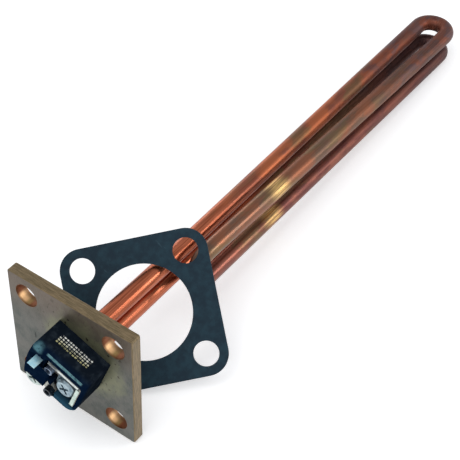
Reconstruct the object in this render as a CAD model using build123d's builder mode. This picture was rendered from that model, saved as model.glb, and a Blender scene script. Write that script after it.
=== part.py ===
from build123d import *
from math import cos, radians, sin
import os

# Immersion heater element on a square four-bolt flange, in millimetres.
# X runs along the element into the tank, Z is up, and the origin is the
# centre of the bolt pattern on the flange's sealing face.

# Flange
flange_side = 63.5
flange_thick = 5.3
flange_corner = 1.2
flange_edge_break = 0.4
bolt_spacing = 44.45
bolt_hole_d = 11.1

# Sheathed element, one tube folded into two hairpins and a return bend
sheath_d = 8.0
sheath_wall = 0.7
sheath_bore_clear = 0.05
bore_sides = 8
immersed_length = 287.5
rear_setback = 2.9
leg_height = 5.8
leg_side = -0.4
waist_x = 60.0
waist_height = 5.3
waist_side = -0.7
tip_height = 5.3
tip_side = 0.0
hairpin_spacing = 15.6
return_bend_x = 69.0
return_spacing = 15.9
return_side = -12.3
straight_stub = 6.0
leg_bend_radius = 60.0

# Inside the sheath
fill_clear = 0.05
coil_d = 3.0
coil_sides = 6
coil_clear = 0.1
cold_length = 40.0
cold_pin_d = 2.4
end_seal_length = 3.0
end_seal_clear = 0.05

# Brazing, in a countersink round each leg
braze_width = 1.3
braze_depth = 1.5
braze_dip = 0.25

# Gasket, hung on the two legs and leaning on the tubes
gasket_side = 63.5
gasket_thick = 1.6
gasket_opening_d = 41.2
gasket_hole_d = 11.0
gasket_centre = (34.48, -5.46, -4.32)
gasket_edge_way = (0.6695, -0.718, 0.1902)
gasket_face_way = (-0.6097, -0.3849, 0.6929)

# Terminal block, a moulding turned on the flange's outer face
block_width = 27.0
block_height = 24.5
block_depth = 15.0
block_turn = 20.0
block_y = -3.7
block_z = 3.8
block_bulge = 1.2
block_corner = 3.0
block_low_corner = 5.0
block_left_corner = 4.0
block_edge_break = 0.7
wall_top = 3.0
wall_right = 1.4
wall_bottom = 3.6
recess_width = 18.6
recess_arm_height = 11.6
recess_foot_width = 12.4
recess_depth = 4.8
recess_corner = 1.4
back_pocket_depth = 3.0
back_pocket_wall = 2.2
hood_width = 3.6
hood_height = 6.6
hood_drop = 6.0
hood_reach = 5.0
hood_inset = 2.7
visor_length = 6.0
visor_thick = 2.2
hood_corner = 0.6
left_pocket_depth = 2.2
knob_r = 3.4
pin_hole_clear = 0.1

# Terminals
screw_right = (5.45, -1.4)
screw_left = (-7.3, -6.4)
screw_head_d = 9.2
screw_head_height = 2.5
screw_crown = 0.9
screw_shank_d = 3.9
screw_tip = 3.3
cross_width = 1.1
cross_length = 5.2
cross_depth = 1.3
washer_side = 10.8
washer_thick = 1.0
washer_corner = 2.6
left_washer_d = 9.6
plate_thick = 0.8
plate_clear = 0.15
link_wall = 0.5
lip_height = 4.5
nut_side = 7.0
nut_thick = 2.4
nut_clear = 0.1
sleeve_d = 4.0
sleeve_wall = 0.75
upper_sleeve_out = 14.4
lower_sleeve_out = 16.2
pin_short = 2.0

# Worked-out places
gasket_corner = (gasket_side - bolt_spacing) / 2
sheath_r = sheath_d / 2
sheath_inner_r = sheath_r - sheath_wall
braze_inner_r = sheath_r + sheath_bore_clear
front_x = -flange_thick
hairpin_r = hairpin_spacing / 2
return_r = return_spacing / 2
front_bend_x = immersed_length - hairpin_r - sheath_r
rear_bend_x = front_bend_x - rear_setback


def leg_points(level, bend_x):
    """Corners of a leg from the flange's outer face to its hairpin, level +1 or -1."""
    return [
        (front_x, leg_side, level * leg_height),
        (straight_stub, leg_side, level * leg_height),
        (waist_x, waist_side, level * waist_height),
        (bend_x - straight_stub, tip_side, level * tip_height),
        (bend_x, tip_side, level * tip_height),
    ]


def return_points(level, bend_x):
    """Corners of the tube from its hairpin back to the return bend."""
    side = tip_side - hairpin_spacing
    return [
        (bend_x, side, level * tip_height),
        (bend_x - straight_stub, side, level * tip_height),
        (return_bend_x + straight_stub, return_side, level * return_r),
        (return_bend_x, return_side, level * return_r),
    ]


def on_leg(x):
    """Side and height of the upper leg at x, between the flange and the waist."""
    share = (x - straight_stub) / (waist_x - straight_stub)
    side = leg_side + share * (waist_side - leg_side)
    height = leg_height + share * (waist_height - leg_height)
    return side, height


def folded_path(start_x):
    """The tube's centre line from start_x on the upper leg round to the lower leg."""
    upper = leg_points(1, front_bend_x)
    lower = leg_points(-1, rear_bend_x)
    if start_x > straight_stub:
        side, height = on_leg(start_x)
        upper = [(start_x, side, height)] + upper[2:]
        lower = [(start_x, side, -height)] + lower[2:]
    else:
        upper[0] = (start_x, leg_side, leg_height)
        lower[0] = (start_x, leg_side, -leg_height)
    upper_back = return_points(1, front_bend_x)
    lower_back = return_points(-1, rear_bend_x)
    with BuildLine() as path:
        FilletPolyline(*upper, radius=leg_bend_radius)
        TangentArc(upper[-1], upper_back[0], tangent=(1, 0, 0))
        FilletPolyline(*upper_back, radius=leg_bend_radius)
        TangentArc(upper_back[-1], lower_back[-1], tangent=(-1, 0, 0))
        FilletPolyline(*reversed(lower_back), radius=leg_bend_radius)
        TangentArc(lower_back[0], lower[-1], tangent=(1, 0, 0))
        FilletPolyline(*reversed(lower), radius=leg_bend_radius)
    return path.wires()[0]


def section_plane(path):
    """A plane across the start of a path, with its first direction level."""
    return Plane(origin=path @ 0, x_dir=(0, 1, 0), z_dir=path % 0)


# The terminal block's own plane: across the block, up it, and out from the flange
turn = radians(block_turn)
across = (0, -cos(turn), -sin(turn))
block_plane = Plane(origin=(front_x, block_y, block_z), x_dir=across, z_dir=(-1, 0, 0))


def recess_outline(inset):
    """The right terminal's stepped outline, drawn inset from the recess wall."""
    left = recess_left + inset
    right = recess_right - inset
    top = recess_top - inset
    low = recess_low + inset
    shelf = recess_top - recess_arm_height + inset
    foot = recess_right - recess_foot_width + inset
    corners = [(left, top), (right, top), (right, low), (foot, low), (foot, shelf), (left, shelf)]
    with BuildSketch() as outline:
        with BuildLine():
            Polyline(*corners, close=True)
        make_face()
        fillet(outline.vertices(), recess_corner)
    return outline.sketch


def link_outline(spread):
    """The left plate's outline, from the lower sleeve to the left screw, spread by a gap."""
    with BuildSketch() as outline:
        with Locations(screw_left):
            Circle(left_washer_d / 2 + spread)
        with Locations(lower_pin):
            Circle(sleeve_d / 2 + pin_hole_clear + link_wall + spread)
        make_hull()
    return outline.sketch


def leg_on_block(level):
    """Where a leg's axis meets the terminal block's own plane."""
    spot = block_plane.to_local_coords(Vector(front_x, leg_side, level * leg_height))
    return (spot.X, spot.Y)


upper_pin = leg_on_block(1)
lower_pin = leg_on_block(-1)

# Heights above the flange's outer face
right_floor = block_depth - recess_depth
left_floor = block_depth - left_pocket_depth
right_seat = right_floor + plate_thick + washer_thick
left_seat = left_floor + plate_thick + washer_thick

# Recess for the right terminal, in the block's own plane
recess_right = block_width / 2 - wall_right
recess_left = recess_right - recess_width
recess_top = block_height / 2 - wall_top
recess_low = -block_height / 2 + wall_bottom

# Hood above the left terminal: a post, and a visor that runs from it to the right
hood_left = -block_width / 2 + hood_inset
hood_level = block_height / 2 - hood_drop - hood_height / 2
hood_centre = (hood_left + hood_width / 2, hood_level)
visor_centre = (hood_left + hood_width * 0.75 + visor_length / 2, hood_level)

# Flange plate: a square brass plate with four bolt holes and two holes for the legs
with BuildPart() as flange_plate:
    with BuildSketch(Plane.YZ.offset(front_x)):
        RectangleRounded(flange_side, flange_side, flange_corner)
        with GridLocations(bolt_spacing, bolt_spacing, 2, 2):
            Circle(bolt_hole_d / 2, mode=Mode.SUBTRACT)
        with Locations((leg_side, leg_height), (leg_side, -leg_height)):
            Circle(braze_inner_r, mode=Mode.SUBTRACT)
    extrude(amount=flange_thick)
    face_edges = flange_plate.faces().sort_by(Axis.X)[0].outer_wire().edges()
    back_edges = flange_plate.faces().sort_by(Axis.X)[-1].outer_wire().edges()
    chamfer(face_edges + back_edges, flange_edge_break)
    for level in (1, -1):
        with Locations(Plane(origin=(0, leg_side, level * leg_height), z_dir=(-1, 0, 0))):
            Cone(
                braze_inner_r + braze_width,
                braze_inner_r,
                braze_depth,
                align=(Align.CENTER, Align.CENTER, Align.MIN),
                mode=Mode.SUBTRACT,
            )
flange_plate.part.label = "flange_plate"

# Heater sheath: copper tube, flush with the flange's outer face. Its mouths are round,
# and its hidden bore is many-sided so that the bends have few facets.
sheath_path = folded_path(front_x)
with BuildPart() as heater_sheath:
    with BuildSketch(section_plane(sheath_path)):
        Circle(sheath_r)
        RegularPolygon(sheath_inner_r, bore_sides, mode=Mode.SUBTRACT)
    sweep(path=sheath_path)
    with BuildSketch(Plane.YZ.offset(front_x)):
        with Locations((leg_side, leg_height), (leg_side, -leg_height)):
            Circle(sheath_inner_r)
    extrude(amount=end_seal_length, mode=Mode.SUBTRACT)
heater_sheath.part.label = "heater_sheath"

# Magnesia fill: packed powder round the coil and the cold pins
fill_path = folded_path(front_x + end_seal_length)
with BuildPart() as magnesia_fill:
    with BuildSketch(section_plane(fill_path)):
        RegularPolygon(sheath_inner_r - fill_clear, bore_sides)
        RegularPolygon(coil_d / 2 + coil_clear, coil_sides, mode=Mode.SUBTRACT)
    sweep(path=fill_path)
magnesia_fill.part.label = "magnesia_fill"

# Resistance coil: the envelope of the fine wound wire, along the heated length
coil_path = folded_path(cold_length)
with BuildPart() as resistance_coil:
    with BuildSketch(section_plane(coil_path)):
        RegularPolygon(coil_d / 2, coil_sides)
    sweep(path=coil_path)
resistance_coil.part.label = "resistance_coil"


def build_cold_pin(level, out):
    """A steel pin from the coil's end, through the end seal, to the terminal plate."""
    side, height = on_leg(cold_length)
    corners = [
        (front_x - out, leg_side, level * leg_height),
        (straight_stub, leg_side, level * leg_height),
        (cold_length, side, level * height),
    ]
    with BuildLine() as way:
        FilletPolyline(*corners, radius=leg_bend_radius)
    pin_path = way.wires()[0]
    with BuildPart() as pin:
        with BuildSketch(section_plane(pin_path)):
            Circle(cold_pin_d / 2)
        sweep(path=pin_path)
    return pin.part


def build_end_seal(level):
    """A sealing bead in the mouth of the sheath, round its cold pin."""
    with BuildPart() as seal:
        with BuildSketch(Plane.YZ.offset(front_x)):
            with Locations((leg_side, level * leg_height)):
                Circle(sheath_inner_r - end_seal_clear)
                Circle(cold_pin_d / 2 + end_seal_clear, mode=Mode.SUBTRACT)
        extrude(amount=end_seal_length)
    return seal.part


def build_braze_ring(level):
    """Braze run into the countersink round a leg, with its face drawn in a little."""
    ring_plane = Plane(
        origin=(0, leg_side, level * leg_height), x_dir=(0, 0, 1), z_dir=(0, -1, 0)
    )
    outer = braze_inner_r + braze_width
    with BuildPart() as ring:
        with BuildSketch(ring_plane):
            with BuildLine():
                Line((outer, 0), (braze_inner_r, -braze_depth))
                Line((braze_inner_r, -braze_depth), (braze_inner_r, -braze_dip))
                Line((braze_inner_r, -braze_dip), (outer, 0))
            make_face()
        revolve(axis=Axis((0, leg_side, level * leg_height), (1, 0, 0)))
    return ring.part


# Gasket: a punched rubber square with rounded corners, hung askew on the legs
gasket_plane = Plane(origin=gasket_centre, x_dir=gasket_edge_way, z_dir=gasket_face_way)
with BuildPart() as flange_gasket:
    with BuildSketch(gasket_plane):
        RectangleRounded(gasket_side, gasket_side, gasket_corner)
        Circle(gasket_opening_d / 2, mode=Mode.SUBTRACT)
        with GridLocations(bolt_spacing, bolt_spacing, 2, 2):
            Circle(gasket_hole_d / 2, mode=Mode.SUBTRACT)
    extrude(amount=gasket_thick / 2, both=True)
flange_gasket.part.label = "flange_gasket"

# Terminal block: one phenolic moulding with a recess, a hood and a bossed lower edge
half_w = block_width / 2
half_h = block_height / 2
with BuildPart() as terminal_block:
    with BuildSketch(block_plane):
        with BuildLine():
            Polyline(
                (-half_w, -half_h), (half_w, -half_h), (half_w, half_h), (-half_w, half_h)
            )
            ThreePointArc(
                (-half_w, half_h), (-half_w - block_bulge, 0), (-half_w, -half_h)
            )
        outline = make_face()
        low_right = outline.vertices().group_by(Axis.X)[-1].sort_by(Axis.Y)[0]
        fillet(low_right, block_low_corner)
        top_right = outline.vertices().group_by(Axis.X)[-1].sort_by(Axis.Y)[-1]
        fillet(top_right, block_corner)
        left_corners = outline.vertices().sort_by(Axis.X)[:2]
        fillet(left_corners, block_left_corner)
        with Locations(lower_pin):
            Circle(knob_r)
    extrude(amount=block_depth)
    rim = terminal_block.faces().sort_by(Axis.X)[0].outer_wire().edges()
    chamfer(rim, block_edge_break)
    with BuildSketch(block_plane.offset(block_depth)):
        with Locations(hood_centre):
            RectangleRounded(hood_width, hood_height, hood_corner)
    extrude(amount=hood_reach)
    with BuildSketch(block_plane.offset(block_depth + hood_reach - visor_thick)):
        with Locations(visor_centre):
            RectangleRounded(hood_width / 2 + visor_length, hood_height, hood_corner)
    extrude(amount=visor_thick)
    with BuildSketch(block_plane.offset(right_floor)):
        add(recess_outline(0))
    extrude(amount=recess_depth, mode=Mode.SUBTRACT)
    with BuildSketch(block_plane.offset(left_floor)):
        add(link_outline(plate_clear))
    extrude(amount=left_pocket_depth, mode=Mode.SUBTRACT)
    with BuildSketch(block_plane):
        RectangleRounded(
            block_width - 2 * back_pocket_wall,
            block_height - 2 * back_pocket_wall,
            block_corner,
        )
        with Locations(lower_pin):
            Circle(knob_r, mode=Mode.SUBTRACT)
    extrude(amount=back_pocket_depth, mode=Mode.SUBTRACT)
    with BuildSketch(block_plane):
        with Locations(screw_right, screw_left):
            Circle(screw_shank_d / 2 + pin_hole_clear)
        with Locations(upper_pin, lower_pin):
            Circle(sleeve_d / 2 + pin_hole_clear)
    extrude(amount=block_depth, mode=Mode.SUBTRACT)
    with BuildSketch(block_plane.offset(back_pocket_depth)):
        with Locations(screw_right, screw_left):
            Rectangle(nut_side + 2 * nut_clear, nut_side + 2 * nut_clear)
    extrude(amount=nut_thick, mode=Mode.SUBTRACT)
terminal_block.part.label = "terminal_block"

# Right terminal plate: a folded tray with a lip along the top and one down the right
tray_right = recess_right - plate_clear
tray_left = recess_left + plate_clear
tray_top = recess_top - plate_clear
tray_low = recess_low + plate_clear
with BuildPart() as terminal_plate_right:
    with BuildSketch(block_plane.offset(right_floor)):
        add(recess_outline(plate_clear))
        with Locations(screw_right):
            Circle(screw_shank_d / 2 + pin_hole_clear, mode=Mode.SUBTRACT)
        with Locations(upper_pin):
            Circle(sleeve_d / 2 + pin_hole_clear, mode=Mode.SUBTRACT)
    extrude(amount=plate_thick)
    with BuildSketch(block_plane.offset(right_floor)):
        with Locations(((tray_left + tray_right) / 2, tray_top)):
            Rectangle(
                tray_right - tray_left - 2 * recess_corner,
                plate_thick,
                align=(Align.CENTER, Align.MAX),
            )
        with Locations((tray_right, (tray_top + tray_low) / 2)):
            Rectangle(
                plate_thick,
                tray_top - tray_low - 2 * recess_corner,
                align=(Align.MAX, Align.CENTER),
            )
    extrude(amount=lip_height)
terminal_plate_right.part.label = "terminal_plate_right"

# Left terminal plate: a flat link from the lower pin to the left screw
with BuildPart() as terminal_plate_left:
    with BuildSketch(block_plane.offset(left_floor)):
        add(link_outline(0))
        with Locations(screw_left):
            Circle(screw_shank_d / 2 + pin_hole_clear, mode=Mode.SUBTRACT)
        with Locations(lower_pin):
            Circle(sleeve_d / 2 + pin_hole_clear, mode=Mode.SUBTRACT)
    extrude(amount=plate_thick)
terminal_plate_left.part.label = "terminal_plate_left"


def build_screw(spot, seat):
    """A pan-head screw with a cross recess, its head seated on its washer."""
    with BuildPart() as screw:
        with BuildSketch(block_plane.offset(seat)):
            with Locations(spot):
                Circle(screw_head_d / 2)
        extrude(amount=screw_head_height)
        crown = screw.faces().sort_by(Axis.X)[0].edges()
        chamfer(crown, screw_crown)
        with BuildSketch(block_plane.offset(seat)):
            with Locations(spot):
                Circle(screw_shank_d / 2)
        extrude(amount=screw_tip - seat)
        with BuildSketch(block_plane.offset(seat + screw_head_height)):
            with Locations(spot):
                Rectangle(cross_length, cross_width, rotation=45)
                Rectangle(cross_width, cross_length, rotation=45)
        extrude(amount=-cross_depth, mode=Mode.SUBTRACT)
    return screw.part


def build_nut(spot):
    """A square nut held in its pocket behind the terminal."""
    with BuildPart() as nut:
        with BuildSketch(block_plane.offset(back_pocket_depth)):
            with Locations(spot):
                Rectangle(nut_side, nut_side)
                Circle(screw_shank_d / 2 + pin_hole_clear / 2, mode=Mode.SUBTRACT)
        extrude(amount=nut_thick)
    return nut.part


def build_sleeve(spot, low, high):
    """A plated sleeve crimped on a cold pin's end, open at its mouth."""
    with BuildPart() as sleeve:
        with BuildSketch(block_plane.offset(low)):
            with Locations(spot):
                Circle(sleeve_d / 2)
                Circle(sleeve_d / 2 - sleeve_wall, mode=Mode.SUBTRACT)
        extrude(amount=high - low)
    return sleeve.part


# Clamp washers: a square one on the right, a round one under the hood
with BuildPart() as clamp_washer_right:
    with BuildSketch(block_plane.offset(right_floor + plate_thick)):
        with Locations(screw_right):
            RectangleRounded(washer_side, washer_side, washer_corner)
            Circle(screw_shank_d / 2 + pin_hole_clear, mode=Mode.SUBTRACT)
    extrude(amount=washer_thick)
with BuildPart() as clamp_washer_left:
    with BuildSketch(block_plane.offset(left_floor + plate_thick)):
        with Locations(screw_left):
            Circle(left_washer_d / 2)
            Circle(screw_shank_d / 2 + pin_hole_clear, mode=Mode.SUBTRACT)
    extrude(amount=washer_thick)

pieces = {
    "flange_plate": flange_plate.part,
    "flange_gasket": flange_gasket.part,
    "heater_sheath": heater_sheath.part,
    "magnesia_fill": magnesia_fill.part,
    "resistance_coil": resistance_coil.part,
    "cold_pin_upper": build_cold_pin(1, upper_sleeve_out - pin_short),
    "cold_pin_lower": build_cold_pin(-1, lower_sleeve_out - pin_short),
    "end_seal_upper": build_end_seal(1),
    "end_seal_lower": build_end_seal(-1),
    "braze_ring_upper": build_braze_ring(1),
    "braze_ring_lower": build_braze_ring(-1),
    "terminal_block": terminal_block.part,
    "terminal_plate_right": terminal_plate_right.part,
    "terminal_plate_left": terminal_plate_left.part,
    "terminal_screw_right": build_screw(screw_right, right_seat),
    "terminal_screw_left": build_screw(screw_left, left_seat),
    "clamp_washer_right": clamp_washer_right.part,
    "clamp_washer_left": clamp_washer_left.part,
    "terminal_nut_right": build_nut(screw_right),
    "terminal_nut_left": build_nut(screw_left),
    "pin_sleeve_upper": build_sleeve(upper_pin, right_floor, upper_sleeve_out),
    "pin_sleeve_lower": build_sleeve(lower_pin, left_floor, lower_sleeve_out),
}

os.makedirs("parts", exist_ok=True)
for name, piece in pieces.items():
    piece.label = name
    export_step(piece, f"parts/{name}.step")
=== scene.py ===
from math import atan2, cos, radians, sin
import bmesh
import bpy
from mathutils import Matrix, Vector


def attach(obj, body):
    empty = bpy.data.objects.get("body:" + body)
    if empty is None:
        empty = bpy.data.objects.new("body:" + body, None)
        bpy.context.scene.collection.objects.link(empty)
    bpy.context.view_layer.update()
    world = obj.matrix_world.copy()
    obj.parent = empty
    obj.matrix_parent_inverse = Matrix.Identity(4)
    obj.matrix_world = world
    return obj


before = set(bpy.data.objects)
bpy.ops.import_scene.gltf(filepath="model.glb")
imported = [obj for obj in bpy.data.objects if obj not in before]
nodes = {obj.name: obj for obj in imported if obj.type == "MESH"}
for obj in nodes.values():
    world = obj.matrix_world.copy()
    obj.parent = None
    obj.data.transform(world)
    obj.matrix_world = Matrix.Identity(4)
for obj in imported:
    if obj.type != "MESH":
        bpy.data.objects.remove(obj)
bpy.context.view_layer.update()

# Camera: above the terminal end and to its left, looking down along the element.
# Its place, lens and roll come from fitting the flange and the tubes to the photograph.
camera_place = Vector((-0.23709, -0.22778, 0.39261))
view_way = Vector((0.5915, 0.3942, -0.7033)).normalized()
camera_roll = radians(2.85)
camera_lens = 97.75
sensor_width = 36.0
near_clip = 0.01
far_clip = 20.0
level_right = view_way.cross(Vector((0, 0, 1))).normalized()
level_up = level_right.cross(view_way)
picture_right = cos(camera_roll) * level_right + sin(camera_roll) * level_up
picture_up = picture_right.cross(view_way)
camera_data = bpy.data.cameras.new("camera")
camera_data.lens = camera_lens
camera_data.sensor_width = sensor_width
camera_data.clip_start = near_clip
camera_data.clip_end = far_clip
camera = bpy.data.objects.new("camera", camera_data)
bpy.context.scene.collection.objects.link(camera)
turn = Matrix((picture_right, picture_up, -view_way)).transposed()
camera.matrix_world = Matrix.Translation(camera_place) @ turn.to_4x4()
bpy.context.scene.camera = camera
bpy.context.scene.view_settings.view_transform = "Standard"


# Floor: a plain pale sheet that the flange's lower edge and the lower hairpin rest on.
# Rays to the camera, a reflection or glass see it a little brighter, so that it is white.
def put(tree, kind, settings, inputs):
    """A shader node with its settings and its inputs, each a value or a linked output."""
    node = tree.nodes.new("ShaderNode" + kind)
    for key, value in settings.items():
        setattr(node, key, value)
    for key, value in inputs.items():
        if isinstance(value, bpy.types.NodeSocket):
            tree.links.new(value, node.inputs[key])
        else:
            node.inputs[key].default_value = value
    return node


def new_paint(name):
    """A node material: its tree, its own shader and the object coordinates."""
    paint = bpy.data.materials.new(name)
    paint.use_nodes = True
    tree = paint.node_tree
    shader = tree.nodes["Principled BSDF"]
    place = put(tree, "TexCoord", {}, {}).outputs["Object"]
    return paint, tree, shader, place


flange_low_x = -0.0026
flange_low_z = -0.03175
hairpin_low_x = 0.277
hairpin_low_z = -0.0093
floor_drop = 0.0004
floor_reach = 2.5
floor_tone = (0.9, 0.9, 0.9, 1)
floor_rough = 0.9
seen_glow = 0.4
floor_tilt = atan2(hairpin_low_z - flange_low_z, hairpin_low_x - flange_low_x)
floor_build = bmesh.new()
bmesh.ops.create_grid(floor_build, x_segments=1, y_segments=1, size=floor_reach)
floor_turn = Matrix.Rotation(-floor_tilt, 3, "Y")
bmesh.ops.rotate(floor_build, verts=floor_build.verts, matrix=floor_turn)
floor_spot = (flange_low_x, 0, flange_low_z - floor_drop)
bmesh.ops.translate(floor_build, verts=floor_build.verts, vec=floor_spot)
floor_mesh = bpy.data.meshes.new("floor")
floor_build.to_mesh(floor_mesh)
floor_build.free()
floor = bpy.data.objects.new("floor", floor_mesh)
bpy.context.scene.collection.objects.link(floor)
floor_paint, tree, shader, place = new_paint("floor_paint")
ray = put(tree, "LightPath", {}, {})
straight = ray.outputs["Is Camera Ray"]
mirrored = ray.outputs["Is Glossy Ray"]
through = ray.outputs["Is Transmission Ray"]
either = put(tree, "Math", {"operation": "ADD"}, {0: straight, 1: mirrored}).outputs[0]
seen = put(tree, "Math", {"operation": "ADD"}, {0: either, 1: through}).outputs[0]
tree.links.new(seen, shader.inputs["Emission Color"])
shader.inputs["Emission Strength"].default_value = seen_glow
shader.inputs["Base Color"].default_value = floor_tone
shader.inputs["Roughness"].default_value = floor_rough
floor_mesh.materials.append(floor_paint)

# World and lamps: a soft pale surround, a lamp low on the right beyond the tubes that
# draws their long highlights, a broad one above, and a weak one on the left.
surround_tone = (0.93, 0.96, 1.0, 1)
surround_level = 0.66
light_target = Vector((0.13, -0.01, 0))
surround = bpy.data.worlds.new("surround")
surround.use_nodes = True
background = surround.node_tree.nodes["Background"]
background.inputs["Color"].default_value = surround_tone
background.inputs["Strength"].default_value = surround_level
bpy.context.scene.world = surround


def hang_lamp(name, way, distance, width, height, power):
    """A soft oblong lamp, that far from the element in that direction, turned to face it."""
    lamp_data = bpy.data.lights.new(name, "AREA")
    lamp_data.shape = "RECTANGLE"
    lamp_data.size = width
    lamp_data.size_y = height
    lamp_data.energy = power
    lamp = bpy.data.objects.new(name, lamp_data)
    bpy.context.scene.collection.objects.link(lamp)
    back = Vector(way).normalized()
    aim = back.to_track_quat("Z", "Y").to_matrix().to_4x4()
    lamp.matrix_world = Matrix.Translation(light_target + back * distance) @ aim


hang_lamp("key_lamp", (0.56, -0.745, 0.36), distance=1.2, width=0.34, height=0.16, power=2.8)
hang_lamp("top_lamp", (-0.45, 0.1, 0.9), distance=1.3, width=0.8, height=0.8, power=4.0)
hang_lamp("left_lamp", (0.55, 0.8, 0.22), distance=1.4, width=0.3, height=0.2, power=1.0)


# Flange plate: a square of brass, sawn, ground and drilled, dulled to grey-brown, stained
# olive and specked dark round the block, with one nick; the olive round the block is painted
# pale, partly as painted light that lifts the block's shadow. Its hole walls carry a painted
# highlight on one side and a paler olive band beside it, also painted light, red-brown
# beyond, darker at the front rim and painted shade deep inside; its sawn edges are browner.
def colour(red, green, blue):
    """A colour read off the picture, 0 to 255 a channel, as linear light."""
    parts = [value / 255 for value in (red, green, blue)]
    light = [p / 12.92 if p <= 0.04045 else ((p + 0.055) / 1.055) ** 2.4 for p in parts]
    return (light[0], light[1], light[2], 1.0)


def add_patch_group():
    """A shared mask: cloudy patches between two levels of a noise."""
    group = bpy.data.node_groups.new("patch_mask", "ShaderNodeTree")
    face = group.interface
    face.new_socket("Place", in_out="INPUT", socket_type="NodeSocketVector")
    for name in ("Size", "Low", "High"):
        face.new_socket(name, in_out="INPUT", socket_type="NodeSocketFloat")
    face.new_socket("Mask", in_out="OUTPUT", socket_type="NodeSocketFloat")
    inside = group.nodes.new("NodeGroupInput").outputs
    outside = group.nodes.new("NodeGroupOutput")
    noise_inputs = {
        "Vector": inside["Place"],
        "Scale": inside["Size"],
        "Detail": 5.0,
        "Roughness": 0.6,
    }
    noise = put(group, "TexNoise", {}, noise_inputs)
    spread_inputs = {
        "Value": noise.outputs["Fac"],
        "From Min": inside["Low"],
        "From Max": inside["High"],
    }
    spread = put(group, "MapRange", {"interpolation_type": "SMOOTHSTEP"}, spread_inputs)
    group.links.new(spread.outputs["Result"], outside.inputs["Mask"])
    return group


patch_group = add_patch_group()


def patches(tree, place, size, low, high, stretch=(1, 1, 1)):
    """The shared patch mask, on coordinates stretched by three factors."""
    laid = put(tree, "Mapping", {}, {"Vector": place, "Scale": stretch}).outputs[0]
    inputs = {"Place": laid, "Size": size, "Low": low, "High": high}
    return put(tree, "Group", {"node_tree": patch_group}, inputs).outputs["Mask"]


def maths(tree, operation, first, second=0.0):
    """One sum on one or two values."""
    return put(tree, "Math", {"operation": operation}, {0: first, 1: second}).outputs[0]


def times(tree, *masks):
    """The product of some masks."""
    product = masks[0]
    for mask in masks[1:]:
        product = maths(tree, "MULTIPLY", product, mask)
    return product


def between(tree, value, low, high):
    """A soft mask that rises from 0 at one value to 1 at another."""
    settings = {"interpolation_type": "SMOOTHSTEP"}
    inputs = {"Value": value, "From Min": low, "From Max": high}
    return put(tree, "MapRange", settings, inputs).outputs["Result"]


def blend(tree, mask, first, second, weight=None):
    """A colour between two others, after a mask and, where given, its weight."""
    factor = mask if weight is None else times(tree, mask, weight)
    node = put(tree, "Mix", {"data_type": "RGBA"}, {"Factor": factor})
    for index, value in ((6, first), (7, second)):
        if isinstance(value, bpy.types.NodeSocket):
            tree.links.new(value, node.inputs[index])
        else:
            node.inputs[index].default_value = value
    return node.outputs[2]


def far(tree, place, spot):
    """How far the coordinates are from a spot."""
    return put(tree, "VectorMath", {"operation": "DISTANCE"}, {0: place, 1: spot}).outputs["Value"]


def reach(tree, place, way):
    """How far the coordinates reach along a direction."""
    settings = {"operation": "DOT_PRODUCT"}
    return put(tree, "VectorMath", settings, {0: place, 1: way}).outputs["Value"]


def ridges(tree, shader, mask, depth):
    """A fine relief after a mask, as a bump on the shader."""
    bump = put(tree, "Bump", {}, {"Height": mask, "Strength": 1.0, "Distance": depth})
    tree.links.new(bump.outputs["Normal"], shader.inputs["Normal"])


def finish_paint(tree, shader, tone, metal, rough):
    """The colour, metal and roughness of a material, on its own shader."""
    tree.links.new(tone, shader.inputs["Base Color"])
    shader.inputs["Metallic"].default_value = metal
    if isinstance(rough, bpy.types.NodeSocket):
        tree.links.new(rough, shader.inputs["Roughness"])
    else:
        shader.inputs["Roughness"].default_value = rough


def dress(name, paint):
    """One material on a CAD piece, in place of its plain one."""
    mesh = nodes[name].data
    mesh.materials.clear()
    mesh.materials.append(paint)


flange_front_x = -0.0053
edge_start = 0.03125
edge_full = 0.03145
bolt_place = 0.022225
bolt_wall = 0.0057
wall_soft = 0.0001
rim_start = flange_front_x + 0.0014
rim_full = flange_front_x + 0.0002
deep_start = -0.0032
deep_full = -0.0008
highlight_way = (0.62, -0.79, 0)
half_light_way = (0.29, -0.96, 0)
side_start = 0.0048
side_full = 0.00555
stain_and_light_spot = (flange_front_x, -0.006, 0.007)
stain_and_light_wander = 0.011
stain_and_light_start = 0.029
stain_and_light_full = 0.018
speck_start = 0.034
speck_full = 0.016
warm_start = 0.004
warm_full = 0.030
nick_shape = (1, 1, 0.25)
nick_spot = (flange_front_x, 0.0195, 0.00005)
nick_half = 0.0006
grain_depth = 0.00002
brass_paint, tree, shader, place = new_paint("dulled_brass")
axes = put(tree, "SeparateXYZ", {}, {"Vector": place}).outputs
away = [maths(tree, "ABSOLUTE", axes[axis]) for axis in ("Y", "Z")]
edge_mask = between(tree, maths(tree, "MAXIMUM", away[0], away[1]), edge_start, edge_full)
hole_steps = [maths(tree, "FLOORED_MODULO", axes[axis], 2 * bolt_place) for axis in ("Y", "Z")]
off_y, off_z = [maths(tree, "SUBTRACT", step, bolt_place) for step in hole_steps]
hole_off = put(tree, "CombineXYZ", {}, {"X": off_y, "Y": off_z}).outputs[0]
hole_mask = between(tree, far(tree, hole_off, (0, 0, 0)), bolt_wall, bolt_wall - wall_soft)
# The bore walls: darker near the front rim and, as painted shade, deep inside; a painted highlight
# on one side with a paler olive band beside it, also painted light.
rim_mask = between(tree, axes["X"], rim_start, rim_full)
deep_shade = between(tree, axes["X"], deep_start, deep_full)
bore_rim_and_shade = maths(tree, "MAXIMUM", rim_mask, deep_shade)
bore_highlight = between(tree, reach(tree, hole_off, highlight_way), side_start, side_full)
bore_half_light = between(tree, reach(tree, hole_off, half_light_way), side_start, side_full)
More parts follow.
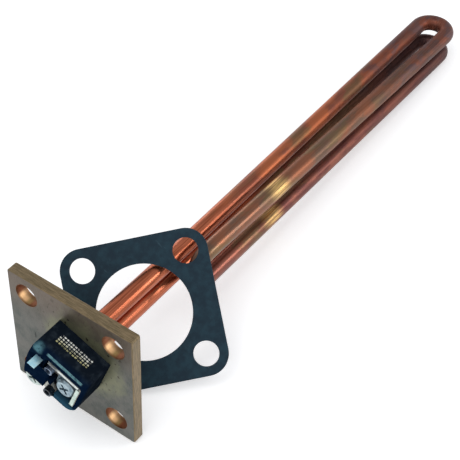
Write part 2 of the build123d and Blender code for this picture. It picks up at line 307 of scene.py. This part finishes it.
# Round the block the face is painted a paler olive: partly a real stain, partly painted light that
# lifts the block's shadow.
block_far = far(tree, place, stain_and_light_spot)
wander = patches(tree, place, size=90.0, low=0.2, high=0.8)
stain_and_light_far = maths(tree, "ADD", block_far, times(tree, wander, stain_and_light_wander))
stain_and_light_mask = between(tree, stain_and_light_far, stain_and_light_start, stain_and_light_full)
warm_mask = between(tree, axes["Z"], warm_start, warm_full)
clouds = patches(tree, place, size=110.0, low=0.35, high=0.65)
grain = patches(tree, place, size=60.0, low=0.3, high=0.7, stretch=(1, 60, 8))
spots = patches(tree, place, size=420.0, low=0.6, high=0.68)
sawn = patches(tree, place, size=60.0, low=0.3, high=0.7, stretch=(60, 4, 4))
speck_mask = times(tree, spots, between(tree, block_far, speck_start, speck_full))
nick_inputs = {0: place, 1: nick_shape}
nick_laid = put(tree, "VectorMath", {"operation": "MULTIPLY"}, nick_inputs).outputs[0]
nick_mask = between(tree, far(tree, nick_laid, nick_spot), nick_half, nick_half / 2)
face_tone = blend(tree, clouds, colour(74, 80, 76), colour(102, 101, 96))
warmed = blend(tree, warm_mask, face_tone, colour(108, 86, 68), weight=0.6)
grained = blend(tree, grain, warmed, colour(134, 130, 118), weight=0.22)
# The pale olive round the block: stain and painted light together.
stained_and_lit = blend(tree, stain_and_light_mask, grained, colour(138, 138, 108), weight=0.8)
nicked = blend(tree, nick_mask, stained_and_lit, colour(24, 28, 28), weight=0.8)
specked = blend(tree, speck_mask, nicked, colour(52, 44, 30))
edge_tone = blend(tree, sawn, colour(100, 88, 64), colour(146, 126, 96))
edged = blend(tree, edge_mask, specked, edge_tone)
# Hole wall colours: red-brown, the painted olive band and painted highlight, then the rim
# darkening and the painted shade deep inside.
bore_tone = blend(tree, bore_half_light, colour(150, 96, 66), colour(176, 146, 94))
bore_lit = blend(tree, bore_highlight, bore_tone, colour(255, 206, 150))
bore_rimmed_and_shaded = blend(tree, bore_rim_and_shade, bore_lit, colour(108, 76, 52), weight=0.8)
holed = blend(tree, hole_mask, edged, bore_rimmed_and_shaded)
ridges(tree, shader, grain, grain_depth)
finish_paint(tree, shader, holed, metal=0.75, rough=0.45)
dress("flange_plate", brass_paint)

# Gasket: punched from blue-black rubber sheet, faintly mottled, with paler scuffs. It hangs
# loose round the tubes behind the flange.
mottle_depth = 0.00003
rubber_gloss = 0.3
rubber_paint, tree, shader, place = new_paint("gasket_rubber")
mottle = patches(tree, place, size=260.0, low=0.35, high=0.7)
scuffs = patches(tree, place, size=90.0, low=0.62, high=0.75, stretch=(8, 1, 3))
rubber_tone = blend(tree, mottle, colour(14, 40, 54), colour(25, 55, 68))
scuffed = blend(tree, scuffs, rubber_tone, colour(52, 80, 92), weight=0.5)
ridges(tree, shader, mottle, mottle_depth)
finish_paint(tree, shader, scuffed, metal=0.0, rough=0.6)
shader.inputs["Specular IOR Level"].default_value = rubber_gloss
dress("flange_gasket", rubber_paint)

# Heater sheath: one drawn copper tube folded on itself, burnt in use to red-brown, olive
# and purple, darker at the far end, and still bright orange on the legs near the flange.
# The lower tubes carry painted shade under the upper ones, down to near black at the far
# end. The tubes of the return carry a painted gold highlight, and gloss fades along.
leg_y = -0.007
return_y = -0.009
top_half = 0.0005
fresh_start = 0.135
fresh_full = 0.06
under_start = 0.10
under_full = 0.15
brown_start = 0.15
brown_full = 0.18
black_start = 0.215
black_full = 0.24
far_start = 0.19
far_full = 0.25
below_full = 0.26
glint_x = 0.1165
glint_shift = 0.004
glint_start = 0.009
glint_full = 0.001
gloss_fade = {"From Min": 0.06, "From Max": 0.2, "To Min": 0.32, "To Max": 0.54}
hair_depth = 0.00002
copper_paint, tree, shader, place = new_paint("burnt_copper")
axes = put(tree, "SeparateXYZ", {}, {"Vector": place}).outputs
along = axes["X"]
hairs = patches(tree, place, size=10.0, low=0.3, high=0.7, stretch=(4, 160, 160))
red_clouds = patches(tree, place, size=4.0, low=0.38, high=0.6, stretch=(12, 30, 30))
olive_clouds = patches(tree, place, size=3.1, low=0.5, high=0.62, stretch=(13, 34, 34))
violet_clouds = patches(tree, place, size=3.7, low=0.5, high=0.62, stretch=(20, 44, 44))
on_return = between(tree, axes["Y"], leg_y, return_y)
on_leg = maths(tree, "SUBTRACT", 1.0, on_return)
on_top = between(tree, axes["Z"], -top_half, top_half)
on_bottom = maths(tree, "SUBTRACT", 1.0, on_top)
far_end = between(tree, along, far_start, far_full)
leg_tone = blend(tree, red_clouds, colour(132, 76, 60), colour(176, 98, 62))
# Painted shade on the lower leg where it runs under the upper one, browner and then near black
# towards the far end.
black_end = between(tree, along, black_start, black_full)
far_under_shade = blend(tree, black_end, colour(78, 66, 46), colour(46, 36, 40))
brown_end = between(tree, along, brown_start, brown_full)
under_shade_tone = blend(tree, brown_end, colour(92, 48, 42), far_under_shade)
under_shade = times(tree, on_bottom, between(tree, along, under_start, under_full))
shaded_leg = blend(tree, under_shade, leg_tone, under_shade_tone, weight=0.8)
upper_return = blend(tree, red_clouds, colour(106, 84, 70), colour(140, 88, 64))
lower_return = blend(tree, red_clouds, colour(100, 58, 56), colour(134, 80, 66))
return_tone = blend(tree, on_top, lower_return, upper_return)
runs = blend(tree, on_return, shaded_leg, return_tone)
olive = blend(tree, olive_clouds, runs, colour(112, 98, 66), weight=0.6)
far_tone = blend(tree, red_clouds, colour(80, 54, 56), colour(114, 64, 54))
burnt = blend(tree, far_end, olive, far_tone, weight=0.75)
violet_mask = times(tree, violet_clouds, far_end)
far_violet = blend(tree, violet_mask, burnt, colour(86, 74, 80), weight=0.7)
# Painted shade: the lower tubes darker towards the far end, under the upper hairpin.
below_shade = times(tree, on_bottom, between(tree, along, far_start, below_full))
far_shaded = blend(tree, below_shade, far_violet, colour(56, 36, 42), weight=0.6)
fresh = blend(tree, hairs, colour(144, 76, 52), colour(204, 110, 74))
fresh_mask = times(tree, between(tree, along, fresh_start, fresh_full), on_leg)
whole = blend(tree, fresh_mask, far_shaded, fresh)
# Painted highlight: a gold glint on each tube of the return.
glint_spot = maths(tree, "ADD", times(tree, on_top, glint_shift), glint_x)
glint_off = maths(tree, "ABSOLUTE", maths(tree, "SUBTRACT", along, glint_spot))
glint_mask = times(tree, between(tree, glint_off, glint_start, glint_full), on_return, hairs)
glinted = blend(tree, glint_mask, whole, colour(238, 196, 122))
streaked = blend(tree, hairs, glinted, colour(176, 128, 108), weight=0.2)
ridges(tree, shader, hairs, hair_depth)
dullness = put(tree, "MapRange", {}, {"Value": along, **gloss_fade}).outputs["Result"]
finish_paint(tree, shader, streaked, metal=1.0, rough=dullness)
dress("heater_sheath", copper_paint)

# Inside the sheath: white packed magnesia, a resistance wire coil, bright steel cold
# pins and red-brown sealing compound in the mouths.
speck_shade = 0.75
inner_looks = {
    "magnesia_fill": (colour(228, 224, 212), 0.0, 0.9),
    "resistance_coil": (colour(120, 112, 104), 1.0, 0.4),
    "cold_pin_upper": (colour(190, 188, 182), 1.0, 0.3),
    "cold_pin_lower": (colour(190, 188, 182), 1.0, 0.3),
    "end_seal_upper": (colour(120, 62, 44), 0.0, 0.6),
    "end_seal_lower": (colour(120, 62, 44), 0.0, 0.6),
}
for name, (tone, metal, rough) in inner_looks.items():
    paint, tree, shader, place = new_paint(name + "_paint")
    specks = patches(tree, place, size=900.0, low=0.3, high=0.7)
    darker = tuple(speck_shade * part for part in tone[:3]) + (1.0,)
    finish_paint(tree, shader, blend(tree, specks, darker, tone), metal, rough)
    dress(name, paint)

# Braze rings: pale brassy filler, melted into the countersinks round the legs and pitted as
# it froze.
pit_depth = 0.00005
braze_paint, tree, shader, place = new_paint("braze_metal")
pits = patches(tree, place, size=700.0, low=0.3, high=0.7)
braze_tone = blend(tree, pits, colour(150, 128, 92), colour(196, 178, 140))
ridges(tree, shader, pits, pit_depth)
finish_paint(tree, shader, braze_tone, metal=1.0, rough=0.4)
for name in ("braze_ring_upper", "braze_ring_lower"):
    dress(name, braze_paint)

# Terminal block: one dull blue-black phenolic moulding, dusty with use, bluer on its
# front. Its top carries rows of plain pale dashes, broken and yellowed towards the front.
# Its front top edge, its lower lip and one corner carry painted teal highlights.
block_spot = (flange_front_x, -0.0037, 0.0038)
block_turn = radians(20.0)
block_across = Vector((0, -cos(block_turn), -sin(block_turn)))
block_up = Vector((0, -sin(block_turn), cos(block_turn)))
block_out = Vector((-1, 0, 0))
block_depth = 0.015
block_half_height = 0.01225
front_fade = 0.005
mark_left = -0.0085
mark_right = 0.0078
mark_near = 0.0040
mark_far = 0.0087
mark_step = 0.0014
mark_length = 0.68
row_step = 0.00118
row_width = 0.56
top_skin = 0.0001
edge_reach = block_depth + block_half_height
top_edge_start = edge_reach - 0.0008
top_edge_full = edge_reach - 0.00072
low_edge_start = edge_reach - 0.0009
highlight_left = -0.0062
highlight_right = 0.0106
highlight_fade = 0.001
lip_top = -0.0074
lip_fade = 0.001
lip_faint = 0.6
lip_from = 0.0005
lip_full = 0.0035
corner_highlight_spot = (-0.0114, 0.0104, 0.0142)
corner_start = 0.0034
corner_full = 0.0010
dust_depth = 0.00004
phenolic_paint, tree, shader, place = new_paint("block_phenolic")
off = put(tree, "VectorMath", {"operation": "SUBTRACT"}, {0: place, 1: block_spot}).outputs[0]
side, level, out = [reach(tree, off, way) for way in (block_across, block_up, block_out)]
dash_part = maths(tree, "FRACT", maths(tree, "DIVIDE", side, mark_step))
row_from = maths(tree, "SUBTRACT", out, mark_near)
row_part = maths(tree, "FRACT", maths(tree, "DIVIDE", row_from, row_step))
printed = times(
    tree,
    maths(tree, "LESS_THAN", dash_part, mark_length),
    maths(tree, "LESS_THAN", row_part, row_width),
    maths(tree, "GREATER_THAN", side, mark_left),
    maths(tree, "LESS_THAN", side, mark_right),
    maths(tree, "GREATER_THAN", out, mark_near),
    maths(tree, "LESS_THAN", out, mark_far),
    maths(tree, "GREATER_THAN", level, block_half_height - top_skin),
    patches(tree, place, size=700.0, low=0.4, high=0.54),
)
yellowed = between(tree, out, mark_near, mark_far)
mark_tone = blend(tree, yellowed, colour(252, 253, 246), colour(190, 184, 124))
dust = patches(tree, place, size=260.0, low=0.45, high=0.75)
highlight_patches = patches(tree, place, size=700.0, low=0.2, high=0.6)
# Painted teal highlight along the front top edge, broken into patches.
top_edge_highlight = between(tree, maths(tree, "ADD", level, out), top_edge_start, top_edge_full)
low_edge_highlight = between(tree, maths(tree, "SUBTRACT", out, level), low_edge_start, edge_reach)
past_left = between(tree, side, highlight_left - highlight_fade, highlight_left)
past_right = between(tree, side, highlight_right + highlight_fade, highlight_right)
edge_highlight = times(tree, top_edge_highlight, highlight_patches, past_left, past_right)
front_mask = between(tree, out, block_depth - front_fade, block_depth)
# Painted teal highlight on the lower lip, with the front lower edge.
lip_low = between(tree, level, lip_top, lip_top - lip_fade)
lip_face = times(tree, front_mask, lip_low, lip_faint)
lip_run = between(tree, side, lip_from, lip_full)
lip_highlight = times(tree, maths(tree, "MAXIMUM", lip_face, low_edge_highlight), lip_run)
# Painted teal highlight on the rounded top left corner.
corner_put = put(tree, "CombineXYZ", {}, {"X": side, "Y": level, "Z": out}).outputs[0]
corner_highlight = between(tree, far(tree, corner_put, corner_highlight_spot), corner_start, corner_full)
top_tone = blend(tree, dust, colour(20, 27, 36), colour(44, 52, 60))
front_tone = blend(tree, dust, colour(10, 26, 48), colour(20, 40, 60))
block_tone = blend(tree, front_mask, top_tone, front_tone)
# The painted teal highlights laid over the block's colour.
lip_lit = blend(tree, lip_highlight, block_tone, colour(54, 98, 120))
corner_lit = blend(tree, times(tree, corner_highlight, highlight_patches), lip_lit, colour(96, 140, 150))
edge_lit = blend(tree, edge_highlight, corner_lit, colour(112, 156, 162), weight=0.85)
marked = blend(tree, printed, edge_lit, mark_tone)
ridges(tree, shader, dust, dust_depth)
finish_paint(tree, shader, marked, metal=0.0, rough=0.25)
shader.inputs["Specular IOR Level"].default_value = 0.0
dress("terminal_block", phenolic_paint)

# Plated strips on the block: the end of the left terminal's strip laid on the hood, painted
# pale cyan as a reflection of the light, and the hems turned over along the top and down
# the right of the right terminal's plate.
strip_edge = 0.0001


def plated_strip(name, across, up, out, dull, bright):
    """A thin plated strip in the block's own axes, each given as its low and high end."""
    build = bmesh.new()
    bmesh.ops.create_cube(build, size=1.0)
    for corner in build.verts:
        a = across[corner.co.x > 0]
        b = up[corner.co.y > 0]
        c = out[corner.co.z > 0]
        corner.co = Vector(block_spot) + a * block_across + b * block_up + c * block_out
    bmesh.ops.bevel(
        build,
        geom=build.edges,
        offset=strip_edge,
        segments=2,
        profile=0.5,
        affect="EDGES",
        material=-1,
    )
    bmesh.ops.recalc_face_normals(build, faces=build.faces)
    mesh = bpy.data.meshes.new(name)
    build.to_mesh(mesh)
    build.free()
    strip = bpy.data.objects.new(name, mesh)
    bpy.context.scene.collection.objects.link(strip)
    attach(strip, "root")
    paint, tree, shader, place = new_paint(name + "_paint")
    bloom = patches(tree, place, size=500.0, low=0.35, high=0.65)
    finish_paint(tree, shader, blend(tree, bloom, dull, bright), metal=0.8, rough=0.32)
    mesh.materials.append(paint)


# The hood tab: its pale cyan is a painted reflection of the light on the hood's top.
plated_strip(
    "hood_tab",
    across=(-0.0108, -0.0074),
    up=(0.00620, 0.00658),
    out=(0.0151, 0.0201),
    dull=colour(186, 238, 255),
    bright=colour(214, 250, 255),
)
plated_strip(
    "hem_top",
    across=(-0.0050, 0.0108),
    up=(0.0074, 0.0090),
    out=(0.0146, 0.0151),
    dull=colour(190, 196, 194),
    bright=colour(228, 232, 228),
)
plated_strip(
    "hem_right",
    across=(0.0101, 0.0118),
    up=(-0.0064, 0.0070),
    out=(0.0146, 0.0151),
    dull=colour(172, 192, 180),
    bright=colour(214, 228, 218),
)

# Terminals: plated plates, screws and washers, gone dull and warm in places, and the
# crimped sleeves on the pins; the lower sleeve is blackened by heat. Each has a dull and
# a bright colour, a roughness and how much of it shows as metal.
terminal_looks = {
    "terminal_plate_right": (colour(160, 136, 124), colour(196, 190, 184), 0.45, 0.5),
    "terminal_plate_left": (colour(150, 146, 134), colour(196, 196, 188), 0.45, 0.6),
    "terminal_screw_right": (colour(118, 142, 154), colour(178, 196, 204), 0.32, 0.8),
    "terminal_screw_left": (colour(150, 164, 162), colour(200, 212, 206), 0.32, 0.8),
    "clamp_washer_right": (colour(116, 140, 152), colour(168, 186, 196), 0.4, 0.6),
    "clamp_washer_left": (colour(150, 164, 160), colour(196, 208, 202), 0.4, 0.6),
    "terminal_nut_right": (colour(150, 150, 146), colour(190, 190, 186), 0.35, 1.0),
    "terminal_nut_left": (colour(150, 150, 146), colour(190, 190, 186), 0.35, 1.0),
    "pin_sleeve_upper": (colour(96, 112, 140), colour(158, 174, 196), 0.35, 0.7),
    "pin_sleeve_lower": (colour(14, 20, 30), colour(44, 58, 70), 0.35, 0.6),
}
for name, (dull, bright, rough, metal) in terminal_looks.items():
    paint, tree, shader, place = new_paint(name + "_paint")
    tarnish = patches(tree, place, size=420.0, low=0.4, high=0.65)
    finish_paint(tree, shader, blend(tree, tarnish, bright, dull), metal, rough)
    dress(name, paint)
